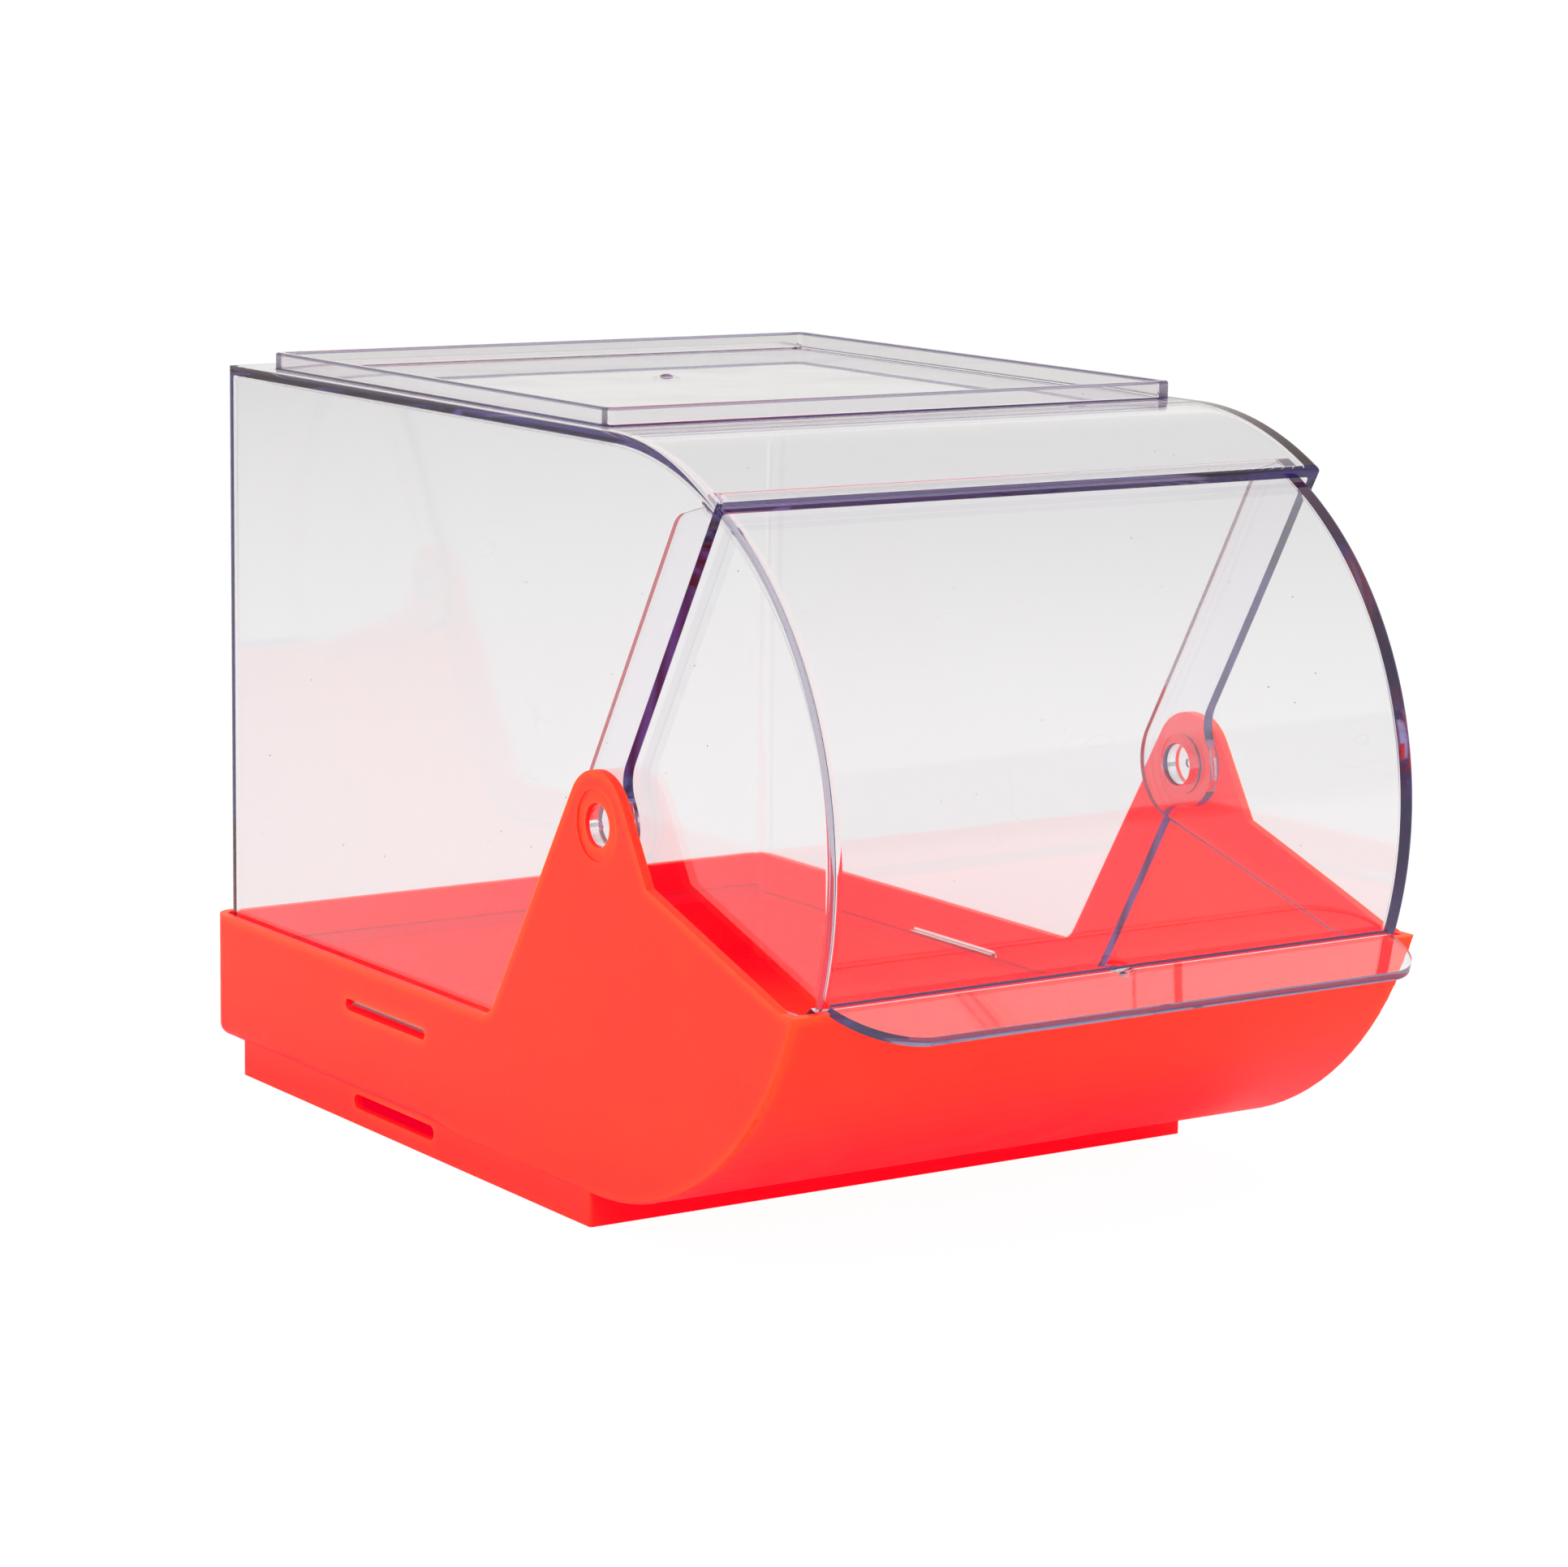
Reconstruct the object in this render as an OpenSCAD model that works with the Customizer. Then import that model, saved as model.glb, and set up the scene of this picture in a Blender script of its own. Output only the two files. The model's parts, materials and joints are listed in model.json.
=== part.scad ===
// Bulk sweet dispenser: a clear hopper with a lift-up scoop door, held in a red
// tray. Units are millimetres, +Z is up and the front faces -Y. The origin is on
// the table, under the middle of the whole outline.
// The scoop door, the visor over it and the front wall under it are all arcs
// about one hinge line, so the door turns between them with an even gap.

/* [Overall] */
// Width across the outer faces of the tray
tray_w = 200; // [180:1:230]
// Height of the hinge line above the table
hinge_h = 108.6; // [105:0.1:112]
// Distance from the hinge line back to the rear face of the tray
hinge_to_rear = 219.5; // [200:0.5:260]
// Distance from the hinge line forward to the tip of the scoop lip
hinge_to_lip = 115.4; // [112:0.1:125]
// Outer radius of the door panel about the hinge line
panel_r = 98.6; // [98:0.1:98.8]

/* [Tray] */
// Thickness of the tray walls and floor
tray_t = 2.5; // [2:0.1:3]
// Height of the side and rear wall tops above the table
tray_h = 46.7; // [42:0.1:55]
// Height of the front wall top above the table
front_wall_h = 75.7; // [74:0.1:75.8]
// Plan radius of the rear corners of the tray
tray_corner_r = 6.3; // [4:0.1:10]
// Radius of the bottom edge round the rear of the tray
tray_heel_r = 3.5; // [2:0.1:3.5]
// Radius that softens the outer edges of the tray
tray_edge_r = 1; // [0.5:0.1:1.5]
// Radius of the ear round the hinge pin
ear_r = 14.5; // [13:0.1:16]
// Lean of the ear's two straight edges from the vertical, in degrees
ear_lean = 31.5; // [28:0.5:35]
// Drop from the hinge line to the kink in the ear's front edge
ear_kink_drop = 12.6; // [10:0.1:15]
// Slope of the wall top in front of the ear, in degrees
wall_slope = 18; // [17:0.1:20]
// Radius where the ear's rear edge meets the level wall top
ear_heel_r = 8; // [4:0.5:12]
// Radius of the round recess in the ear's outer face
ear_recess_r = 9.7; // [8:0.1:11]
// Depth of the round recess in the ear's outer face
ear_recess_depth = 0.4; // [0.2:0.1:0.8]

/* [Foot] */
// Height of the foot skirt under the tray floor
foot_h = 9.7; // [8.5:0.1:9.8]
// Step in from the tray's side faces to the foot's side faces
foot_side_step = 1.1; // [0.7:0.1:2]
// Distance from the hinge line back to the front face of the foot
foot_front = 3.1; // [2:0.1:6]
// Distance from the foot's rear face to the tray's rear face
foot_rear_step = 16; // [10:0.5:20]
// Plan radius of the rear corners of the foot
foot_corner_r = 3; // [2.8:0.1:5]
// Radius of the foot's rear bottom edge
foot_heel_r = 2; // [1:0.1:2.2]

/* [Slots] */
// Distance from the hinge line back to the front end of the side slots
slot_front = 90.1; // [80:0.1:110]
// Length of the side slots and of the foot slots
slot_l = 46.1; // [30:0.1:60]
// Height of the lower edge of the side slots, where the hopper rests
seat_h = 33; // [30:0.1:36]
// Height of the side slots
slot_h = 3.4; // [3:0.1:4]
// Height of the foot slots
foot_slot_h = 4.3; // [4.2:0.1:4.6]
// Height of the lower edge of the foot slots above the table
foot_slot_base = 4.7; // [3:0.1:4.8]
// Distance by which the foot slots lie further forward than the side slots
foot_slot_lead = 3.2; // [0:0.1:6]

/* [Hopper] */
// Thickness of the hopper walls
hopper_t = 3; // [2.5:0.1:3.5]
// Gap between the hopper's outer faces and the tray's inner faces
hopper_gap = 0.25; // [0.2:0.05:0.4]
// Distance from the hopper's rear face to the tray's rear face
hopper_rear_step = 4.1; // [3:0.1:6]
// Plan radius of the rear corners of the hopper
hopper_corner_r = 5.2; // [4:0.1:8]
// Outer radius of the visor about the hinge line
visor_r = 102.4; // [102.2:0.1:103]
// Angle from the vertical to the visor's end and the side walls' front edge
visor_end = 30; // [28:0.5:32]
// Radius of the lobe round the hinge pin
hopper_lobe_r = 12.5; // [11:0.1:14]
// Radius of the inner corners above and below the lobe
lobe_fillet_r = 10; // [6:0.5:14]
// Radius of the lower front corner of the hopper sides
hopper_toe_r = 14; // [8:0.5:18]
// Radius of the hopper's outer top edges
hopper_edge_r = 1.5; // [0.5:0.1:2]

/* [Stacking rim] */
// Width across the stacking rim
rim_w = 185.3; // [170:0.1:188]
// Distance from the hinge line back to the front of the rim
rim_front = 8.1; // [7:0.1:12]
// Distance from the hinge line back to the rear of the rim
rim_rear = 193.6; // [180:0.1:196]
// Height of the rim above the top panel
rim_h = 5; // [4.5:0.1:6]
// Thickness of the rim wall
rim_t = 3; // [2:0.1:4]
// Outer plan radius of the rim's corners
rim_corner_r = 3.2; // [3:0.1:6]

/* [Scoop door] */
// Width across the door's cheeks
door_w = 186.4; // [186:0.1:187]
// Thickness of the door panel and its cheeks
door_t = 2.8; // [2.4:0.1:3]
// Angle from the vertical to the hidden top end of the panel
panel_top = 25; // [23:0.5:27]
// Radius of the cheek's lobe round the hinge pin
cheek_lobe_r = 16.4; // [15:0.1:18]
// Radius of the panel's long outer edges
door_edge_r = 1.2; // [0.5:0.1:1.5]
// Length of the cheek's straight rear edge, up from its lobe
cheek_edge_l = 87.3; // [85:0.1:88]
// Radius of the cheek's upper rear corner
cheek_corner_r = 7; // [4:0.5:9]
// Slope of the cheek's lower edge, in degrees
cheek_slope = 14.7; // [14:0.1:15]
// Depth that the cheeks dip below the front wall top
dip_depth = 1.9; // [1:0.1:2.5]
// Gap between the dipped edge of a cheek and the front wall
dip_gap = 2.9; // [1:0.1:3]
// Radius of the raised ring round each hinge hole
ring_r = 8.6; // [8:0.1:10]
// Side gap between the raised ring and the hopper
ring_gap = 0.25; // [0.15:0.05:0.4]
// Rise of the lip's top face above the panel's lower end
lip_rise = 1.6; // [1.4:0.1:1.8]
// Length of the scoop lip from end to end
lip_l = 179.4; // [160:0.1:182]
// Downward slope of the lip's top face, in degrees
lip_slope = 13; // [12:0.5:14]
// Thickness of the lip
lip_t = 2.5; // [2:0.1:2.6]
// Width of each rounded end of the lip
lip_end_w = 16; // [10:0.5:20]

/* [Hinge pins] */
// Radius of the hinge pins
pin_r = 5.95; // [5.5:0.05:6.5]
// Running clearance between a pin and the door, on the radius
pin_clearance = 0.08; // [0.05:0.01:0.1]
// Depth of a pin's outer face below the outer face of the ear
pin_recess = 1.5; // [0.8:0.1:2]
// Distance of a pin's inner face out from the inner face of the cheek
pin_inset = 1.3; // [0.5:0.1:1.5]

/* [Hidden] */
$fn = 96;

RED = "#ff4a32";
CLEAR = "#d9dce6";

// Widths are halved once here, since every piece is symmetric about X = 0
tray_half = tray_w / 2;
tray_inner = tray_half - tray_t;
hopper_half = tray_inner - hopper_gap;
hopper_inner = hopper_half - hopper_t;
door_half = door_w / 2;
door_inner = door_half - door_t;
foot_half = tray_half - foot_side_step;

// Levels and reaches measured from the hinge line
table = -hinge_h;
tray_base = foot_h - hinge_h;
wall_top = tray_h - hinge_h;
front_top = front_wall_h - hinge_h;
seat = seat_h - hinge_h;
front_r = hinge_h - foot_h;
hopper_rear = hinge_to_rear - hopper_rear_step;
foot_rear = hinge_to_rear - foot_rear_step;
hinge_y = (hinge_to_lip - hinge_to_rear) / 2;

// Length of the lip's root inside the panel
lip_root_l = 1.5;

// A length greater than any piece, for cutting shapes
FAR = 400;
// Small overlap that joins shapes or carries a cut past a face
LAP = 1;
// How far an arc runs past a straight edge that it touches, so that the two
// cross at a clean corner
BITE = 0.01;

function unit(v) = v / norm(v);
// Point at a radius from the hinge line, at an angle forward from the vertical
function polar(r, angle) = [-r * sin(angle), r * cos(angle)];
// Where the line from a point in one direction meets a level
function at_level(p, direction, level) = p + direction * (level - p[1]) / direction[1];

// Extrudes a side view, drawn as [Y, Z] about the hinge line, from one X to another
module side_view(from, to) {
    translate([from, hinge_y, hinge_h])
        rotate([90, 0, 90])
            linear_extrude(to - from)
                children();
}

// Extrudes a plan view, drawn as [X, Y] about the hinge line, between two levels
module plan_view(from, to) {
    translate([0, hinge_y, hinge_h + from])
        linear_extrude(to - from)
            children();
}

// The sliver between a corner and the arc that rounds it. It fillets an inner
// corner when added, and rounds an outer corner when cut away.
module corner_web(corner, toward_a, toward_b, r) {
    to_a = unit(toward_a - corner);
    to_b = unit(toward_b - corner);
    half_angle = acos(to_a * to_b) / 2;
    middle = unit(to_a + to_b);
    centre = corner + middle * r / sin(half_angle);
    tangent_l = r / tan(half_angle);
    difference() {
        polygon([corner - middle * LAP, corner + to_a * tangent_l, centre, corner + to_b * tangent_l]);
        translate(centre)
            circle(r + BITE);
    }
}

// Rectangle in plan from a front to a rear line, with rounded corners
module rounded_plan(half_w, front, rear, front_corner_r, rear_corner_r) {
    difference() {
        translate([-half_w, front])
            square([2 * half_w, rear - front]);
        for (side = [-1, 1]) {
            corner_web([side * half_w, rear], [0, rear], [side * half_w, front], rear_corner_r);
            if (front_corner_r > 0)
                corner_web([side * half_w, front], [0, front], [side * half_w, rear], front_corner_r);
        }
    }
}

// ---------------------------------------------------------------- tray

// Corners of the tray's side wall, from the front up over the ear to the rear
ear_front = polar(ear_r - BITE, 90 - ear_lean);
ear_rear = [-ear_front[0], ear_front[1]];
kink = at_level(ear_front, [sin(ear_lean), cos(ear_lean)], -ear_kink_drop);
slope_foot = at_level(kink, [cos(wall_slope), sin(wall_slope)], front_top);
shoulder = at_level(ear_rear, [sin(ear_lean), -cos(ear_lean)], wall_top);

// Region bounded by an arc in front and straight lines behind, as the tray's
// outside and its cavity both are
module arc_front_block(r, rear, base) {
    intersection() {
        circle(r);
        translate([-FAR, -FAR])
            square([FAR, 2 * FAR]);
    }
    translate([0, base])
        square([rear, r - base]);
}

module tray_outline() {
    intersection() {
        arc_front_block(front_r, hinge_to_rear, tray_base);
        polygon([
            [-FAR, front_top], slope_foot, kink, ear_front, [0, 0], ear_rear, shoulder,
            [FAR, wall_top], [FAR, -FAR], [-FAR, -FAR]
        ]);
    }
    circle(ear_r);
    corner_web(shoulder, ear_rear, [hinge_to_rear, wall_top], ear_heel_r);
}

module tray_cavity() {
    arc_front_block(front_r - tray_t, hinge_to_rear - tray_t, tray_base + tray_t);
    circle(ear_r + LAP);
    translate([-FAR, front_top])
        square([FAR + hinge_to_rear - tray_t, FAR]);
}

// Cut that rounds the tray's bottom edge across the rear, round both rear corners
// and along the sides, where it runs out in a long curve
module heel_cut() {
    corner_x = tray_half - tray_corner_r;
    corner_y = hinge_to_rear - tray_corner_r;
    run_out_y = slot_front - foot_slot_lead;
    run_out_r = 60;
    side_view(-corner_x, corner_x)
        corner_web([hinge_to_rear, tray_base], [0, tray_base], [hinge_to_rear, wall_top], tray_heel_r);
    for (side = [0, 1])
        mirror([side, 0, 0])
            translate([0, hinge_y, hinge_h]) {
                translate([0, corner_y, 0])
                    rotate([90, 0, 0])
                        linear_extrude(corner_y - run_out_y)
                            corner_web([tray_half, tray_base], [0, tray_base], [tray_half, 0], tray_heel_r);
                translate([corner_x, corner_y, 0])
                    intersection() {
                        rotate_extrude()
                            corner_web([tray_corner_r, tray_base], [0, tray_base], [tray_corner_r, 0], tray_heel_r);
                        translate([0, 0, -FAR])
                            cube(FAR);
                    }
                translate([tray_half + run_out_r, run_out_y, 0])
                    intersection() {
                        rotate_extrude()
                            corner_web([run_out_r, tray_base], [FAR, tray_base], [run_out_r, 0], tray_heel_r);
                        translate([-FAR, -FAR, -FAR])
                            cube(FAR);
                    }
            }
}

// Long slot with round ends through both side walls
module side_slots(front, base, h, from) {
    for (side = [0, 1])
        mirror([side, 0, 0])
            side_view(from, tray_half + LAP) {
                translate([front + h / 2, base])
                    square([slot_l - h, h]);
                for (end = [h / 2, slot_l - h / 2])
                    translate([front + end, base + h / 2])
                        circle(h / 2);
            }
}

// What is cut to soften the side edges of a block that follows an arc in front
// of the hinge line and runs straight back from there. The direction is 1 for
// edges above the hinge line and -1 for edges below it.
module long_edge_cut(half_w, r, rear, edge_r, direction) {
    for (side = [0, 1])
        mirror([side, 0, 0])
            translate([0, hinge_y, hinge_h]) {
                intersection() {
                    rotate([0, 90, 0])
                        rotate_extrude()
                            corner_web([r, half_w], [r, 0], [0, half_w], edge_r);
                    translate([0, -FAR, direction > 0 ? 0 : -FAR])
                        cube(FAR);
                }
                rotate([-90, 0, 0])
                    linear_extrude(rear + LAP)
                        mirror([0, direction > 0 ? 1 : 0])
                            corner_web([half_w, r], [0, r], [half_w, 0], edge_r);
            }
}

module foot() {
    difference() {
        plan_view(table, tray_base + tray_t - LAP)
            rounded_plan(foot_half, foot_front, foot_rear, tray_edge_r, foot_corner_r);
        plan_view(table - LAP, tray_base)
            rounded_plan(foot_half - tray_t, foot_front + tray_t, foot_rear - tray_t, 0, foot_corner_r - tray_t);
        side_view(-tray_half, tray_half)
            corner_web([foot_rear, table], [0, table], [foot_rear, tray_base], foot_heel_r);
    }
}

module tray() {
    color(RED)
        difference() {
            union() {
                difference() {
                    intersection() {
                        side_view(-tray_half, tray_half)
                            tray_outline();
                        plan_view(table, hinge_h)
                            rounded_plan(tray_half, -FAR, hinge_to_rear, 0, tray_corner_r);
                    }
                    intersection() {
                        side_view(-tray_inner, tray_inner)
                            tray_cavity();
                        plan_view(table, FAR)
                            rounded_plan(tray_inner, -FAR, hinge_to_rear - tray_t, 0, tray_corner_r - tray_t);
                    }
                    heel_cut();
                }
                foot();
            }
            long_edge_cut(tray_half, front_r, hinge_to_rear, tray_edge_r, -1);
            side_slots(slot_front, seat, slot_h, tray_inner - LAP);
            side_slots(slot_front - foot_slot_lead, table + foot_slot_base, foot_slot_h, foot_half - tray_t - LAP);
            side_view(-tray_half - LAP, tray_half + LAP)
                circle(pin_r);
            for (side = [0, 1])
                mirror([side, 0, 0])
                    side_view(tray_half - ear_recess_depth, tray_half + LAP)
                        circle(ear_recess_r);
        }
}

// -------------------------------------------------------------- hopper

// The front edge is one straight line through the hinge line
edge_up = polar(1, visor_end);
toe = at_level([0, 0], edge_up, seat);

// Fillet between the lobe and one half of the straight front edge
module lobe_fillet(direction) {
    forward = [-cos(visor_end), -sin(visor_end)];
    along = sqrt(pow(hopper_lobe_r + lobe_fillet_r, 2) - pow(lobe_fillet_r, 2));
    centre = direction * along + forward * lobe_fillet_r;
    difference() {
        polygon([[0, 0], direction * along - forward * LAP, centre, unit(centre) * (hopper_lobe_r - LAP)]);
        translate(centre)
            circle(lobe_fillet_r + BITE);
    }
}

module hopper_outline() {
    difference() {
        union() {
            difference() {
                intersection() {
                    union() {
                        circle(visor_r);
                        translate([0, seat])
                            square([hopper_rear, visor_r - seat]);
                    }
                    polygon([edge_up * FAR, toe, [hopper_rear, seat], [hopper_rear, FAR]]);
                }
                corner_web(toe, [0, 0], [hopper_rear, seat], hopper_toe_r);
            }
            circle(hopper_lobe_r);
            lobe_fillet(edge_up);
            lobe_fillet(-edge_up);
        }
        corner_web([hopper_rear, visor_r], [0, visor_r], [hopper_rear, 0], hopper_edge_r);
        circle(pin_r);
    }
}

module hopper_cavity() {
    circle(visor_r - hopper_t);
    translate([0, seat - LAP])
        square([hopper_rear - hopper_t, visor_r - hopper_t - seat + LAP]);
}

module stacking_rim() {
    plan_view(visor_r - LAP, visor_r + rim_h)
        difference() {
            rounded_plan(rim_w / 2, rim_front, rim_rear, rim_corner_r, rim_corner_r);
            translate([-rim_w / 2 + rim_t, rim_front + rim_t])
                square([rim_w - 2 * rim_t, rim_rear - rim_front - 2 * rim_t]);
        }
}

// Snap ledges on the hopper's lower edges, which sit in the tray's side slots
module snap_ledges() {
    ledge_reach = 1.6;
    ledge_h = 2.3;
    end_gap = 2.2;
    for (side = [0, 1])
        mirror([side, 0, 0])
            side_view(hopper_half - LAP, hopper_half + ledge_reach)
                translate([slot_front + end_gap, seat])
                    square([slot_l - 2 * end_gap, ledge_h]);
}

module hopper() {
    color(CLEAR, 0.4) {
        difference() {
            intersection() {
                side_view(-hopper_half, hopper_half)
                    hopper_outline();
                plan_view(table, FAR)
                    rounded_plan(hopper_half, -FAR, hopper_rear, 0, hopper_corner_r);
            }
            intersection() {
                side_view(-hopper_inner, hopper_inner)
                    hopper_cavity();
                plan_view(table, FAR)
                    rounded_plan(hopper_inner, -FAR, hopper_rear - hopper_t, 0, hopper_corner_r - hopper_t);
            }
            long_edge_cut(hopper_half, visor_r, hopper_rear, hopper_edge_r, 1);
        }
        stacking_rim();
        snap_ledges();
    }
}

// ---------------------------------------------------------------- door

// Gap left between the closed door and the front wall of the tray
door_gap = 0.35;
panel_end = acos(front_top / front_r) - atan(door_gap / panel_r);
panel_inner_r = panel_r - door_t;

// The cheeks dip inside the front wall, a little clear of its inner face
dip_r = front_r - tray_t - dip_gap;
dip_level = front_top - dip_depth;

// Straight edges of the cheek, both tangent to its lobe
rear_edge = (cheek_lobe_r - BITE) * [cos(visor_end), sin(visor_end)];
under_edge = (cheek_lobe_r - BITE) * [sin(cheek_slope), -cos(cheek_slope)];
cheek_top = rear_edge + edge_up * cheek_edge_l;
dip_rear = at_level(under_edge, [cos(cheek_slope), sin(cheek_slope)], dip_level);
dip_front = [-sqrt(pow(dip_r, 2) - pow(dip_level, 2)), dip_level];
// Where the cheek's edges run into the thickness of the panel
join_r = panel_r - door_t / 2;
top_join = panel_top + 0.5;
low_join = panel_end - 0.5;

// The lip's top face starts on the panel's outer face, just above its lower end
lip_level = panel_r * cos(panel_end) + lip_rise;
lip_root = [-sqrt(pow(panel_r, 2) - pow(lip_level, 2)), lip_level];

module cheek_outline() {
    difference() {
        union() {
            intersection() {
                circle(join_r);
                polygon([
                    [0, 0], rear_edge, cheek_top, polar(join_r, top_join), polar(FAR, top_join),
                    polar(FAR, low_join), polar(dip_r, low_join), dip_front, dip_rear, under_edge
                ]);
            }
            circle(cheek_lobe_r);
        }
        corner_web(cheek_top, rear_edge, polar(join_r, top_join), cheek_corner_r);
        circle(pin_r + pin_clearance);
    }
}

module panel_section() {
    difference() {
        intersection() {
            circle(panel_r);
            polygon([[0, 0], polar(FAR, panel_top), [-FAR, 0], polar(FAR, panel_end)]);
        }
        circle(panel_inner_r);
    }
}

// One cheek, with the raised ring that keeps it off the hopper's side
module cheek() {
    side_view(door_inner, door_half)
        cheek_outline();
    side_view(door_half - LAP / 2, hopper_inner - ring_gap)
        difference() {
            circle(ring_r);
            circle(pin_r + pin_clearance);
        }
}

// Lip outline seen square to its top face, with each end a quarter ellipse
module lip_plan(reach) {
    end_steps = 16;
    half_l = lip_l / 2;
    right_end = [
        for (i = [0 : end_steps])
            let (a = 90 * i / end_steps)
                [half_l - lip_end_w * (1 - cos(a)), -reach * sin(a)]
    ];
    left_end = [for (i = [end_steps : -1 : 0]) [-right_end[i][0], right_end[i][1]]];
    polygon(concat(right_end, left_end));
    translate([-half_l, -LAP / 2])
        square([lip_l, LAP / 2 + lip_root_l]);
}

// The lip grows out of the panel's lower end and hangs clear of the front wall
module lip() {
    reach = (hinge_to_lip + lip_root[0]) / cos(lip_slope);
    difference() {
        translate([0, hinge_y + lip_root[0], hinge_h + lip_root[1]])
            rotate([lip_slope, 0, 0])
                translate([0, 0, -lip_t])
                    linear_extrude(lip_t)
                        lip_plan(reach);
        side_view(-tray_half, tray_half)
            intersection() {
                circle(front_r + door_gap);
                polygon([[0, 0], polar(FAR, panel_end), [-FAR, -FAR], [0, -FAR]]);
            }
    }
}

// Cut that rounds the long outer edges of the panel
module panel_edge_cut() {
    for (side = [0, 1])
        mirror([side, 0, 0])
            translate([0, hinge_y, hinge_h])
                rotate([0, 90, 0])
                    rotate_extrude()
                        corner_web([panel_r, door_half], [panel_r, 0], [0, door_half], door_edge_r);
}

module door() {
    color(CLEAR, 0.4) {
        difference() {
            union() {
                side_view(-door_half, door_half)
                    panel_section();
                for (side = [0, 1])
                    mirror([side, 0, 0])
                        cheek();
            }
            panel_edge_cut();
        }
        lip();
    }
}

// ---------------------------------------------------------- hinge pins

module hinge_pin() {
    dimple_r = 2.5;
    dimple_depth = 0.5;
    outer = tray_half - pin_recess;
    color(CLEAR, 0.4)
        difference() {
            side_view(door_inner + pin_inset, outer)
                circle(pin_r);
            translate([outer + dimple_r - dimple_depth, hinge_y, hinge_h])
                sphere(dimple_r);
        }
}

module left_pin() {
    mirror([1, 0, 0])
        hinge_pin();
}

module right_pin() {
    hinge_pin();
}

tray();
hopper();
door();
left_pin();
right_pin();
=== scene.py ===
"""Looks of a clear stackable sweet bin in its red tray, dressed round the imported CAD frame.

Shapes are drawn in millimetres about the hinge line: x to the right, y to the back
and z up. A side view is a path of (y, z) points, and a plan view one of (x, y) points.
"""

import json
import math

import bmesh
import bpy
from mathutils import Matrix, Vector


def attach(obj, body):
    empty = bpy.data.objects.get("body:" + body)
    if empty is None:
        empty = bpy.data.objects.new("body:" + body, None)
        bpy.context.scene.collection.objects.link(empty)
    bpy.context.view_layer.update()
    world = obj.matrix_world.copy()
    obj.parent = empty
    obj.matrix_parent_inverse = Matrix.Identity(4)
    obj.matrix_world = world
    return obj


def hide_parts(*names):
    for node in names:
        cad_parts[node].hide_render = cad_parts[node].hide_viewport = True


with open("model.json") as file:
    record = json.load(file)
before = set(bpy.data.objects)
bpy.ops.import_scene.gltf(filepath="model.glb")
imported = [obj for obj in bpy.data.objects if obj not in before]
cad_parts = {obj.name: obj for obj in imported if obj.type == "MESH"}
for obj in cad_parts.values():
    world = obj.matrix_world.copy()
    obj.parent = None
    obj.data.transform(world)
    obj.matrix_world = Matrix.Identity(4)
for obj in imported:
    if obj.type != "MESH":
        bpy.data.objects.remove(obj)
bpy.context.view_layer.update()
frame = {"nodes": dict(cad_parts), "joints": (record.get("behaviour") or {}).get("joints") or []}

MM = 0.001
HINGE_LINE = Vector((0, 0))
HINGE_PLACE = Vector(frame["joints"][0]["pos_m"])

# Camera, in front of the bin's left side and a little above it
CAMERA_YAW = 33.81
CAMERA_PITCH = 10.06
CAMERA_ROLL = 0.83
CAMERA_LENS_MM = 107.72
CAMERA_SENSOR_MM = 36.0
CAMERA_PLACE = (-0.72494, -1.07258, 0.33251)

# Finest stretch of an arc: no longer than this chord, nor wider than this angle
ARC_CHORD = 1.5
ARC_ANGLE = math.radians(6)

# How near to a face a point counts as on it, how far a solid reaches into the one it
# joins, and a reach longer than any piece
NEAR = 0.01
BITE = 1
FAR = 120

# Edges: sharpest bend left alone on a block and on a finished piece. A finished piece's
# sharper edges get a small rounding, and its faces a mark from 0 to 1 for painted dark shade.
BLOCK_ANGLE = math.radians(45)
SHARP_ANGLE = math.radians(35)
SMALL_EDGE_R = 0.3
PAINTED_EDGE_MARK = "edge"
RIM_MARK = 0.6
ARC_MARK = 0.45
LIP_MARK = 0.7

# Hopper
HOPPER_HALF = 97.25
HOPPER_T = 3
HOPPER_REAR = 215.4
HOPPER_CORNER_R = 5.2
HOPPER_EDGE_R = 1.5
HOPPER_FILLET_R = 1.0
VISOR_R = 102.4
VISOR_END = 30
SEAT = -75.6
TOE_R = 14
LOBE_R = 12.5
LOBE_FILLET_R = 10

# Stacking rim
RIM_HALF = 92.65
RIM_FRONT = 8.1
RIM_REAR = 193.6
RIM_H = 5
RIM_T = 3
RIM_CORNER_R = 3.2
RIM_INNER_R = 1.2
RIM_EDGE_R = 0.8
RIM_FOOT_R = 0.6

# Snap ledges, with a ramp underneath
LEDGE_FRONT = 92.3
LEDGE_REAR = 134
LEDGE_H = 2.3
LEDGE_REACH = 1.6
LEDGE_RAMP = 1.4

# Moulding gates: a nub on the top panel, and one in a scooped spot at the middle of the lip's root
GATE_Y = 126
GATE_BALL_R = 4.0
GATE_H = 0.9
SCOOP_R = 8.5
SCOOP_DEPTH = 1.0
NUB_R = 1.6
NUB_AHEAD = 2.0

# Scoop door
DOOR_HALF = 93.2
DOOR_T = 2.8
PANEL_R = 98.6
PANEL_TOP = 25
PANEL_END = 109.23
DOOR_EDGE_R = 1.2
DOOR_FILLET_R = 1.5
CHEEK_LOBE_R = 16.4
CHEEK_EDGE_L = 87.3
CHEEK_CORNER_R = 7
CHEEK_SLOPE = 14.7
DIP_R = 93.5
DIP_LEVEL = -34.8
RING_R = 8.6
RING_REACH = 0.8
LIP_HALF = 89.7
LIP_END_W = 16
LIP_TIP = 115.4
LIP_RISE = 1.6
LIP_SLOPE = 13
LIP_T = 2.5
LIP_ROOT_L = 1.5
CREASE_R = 0.4
WALL_CLEARANCE_R = 99.25

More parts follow.
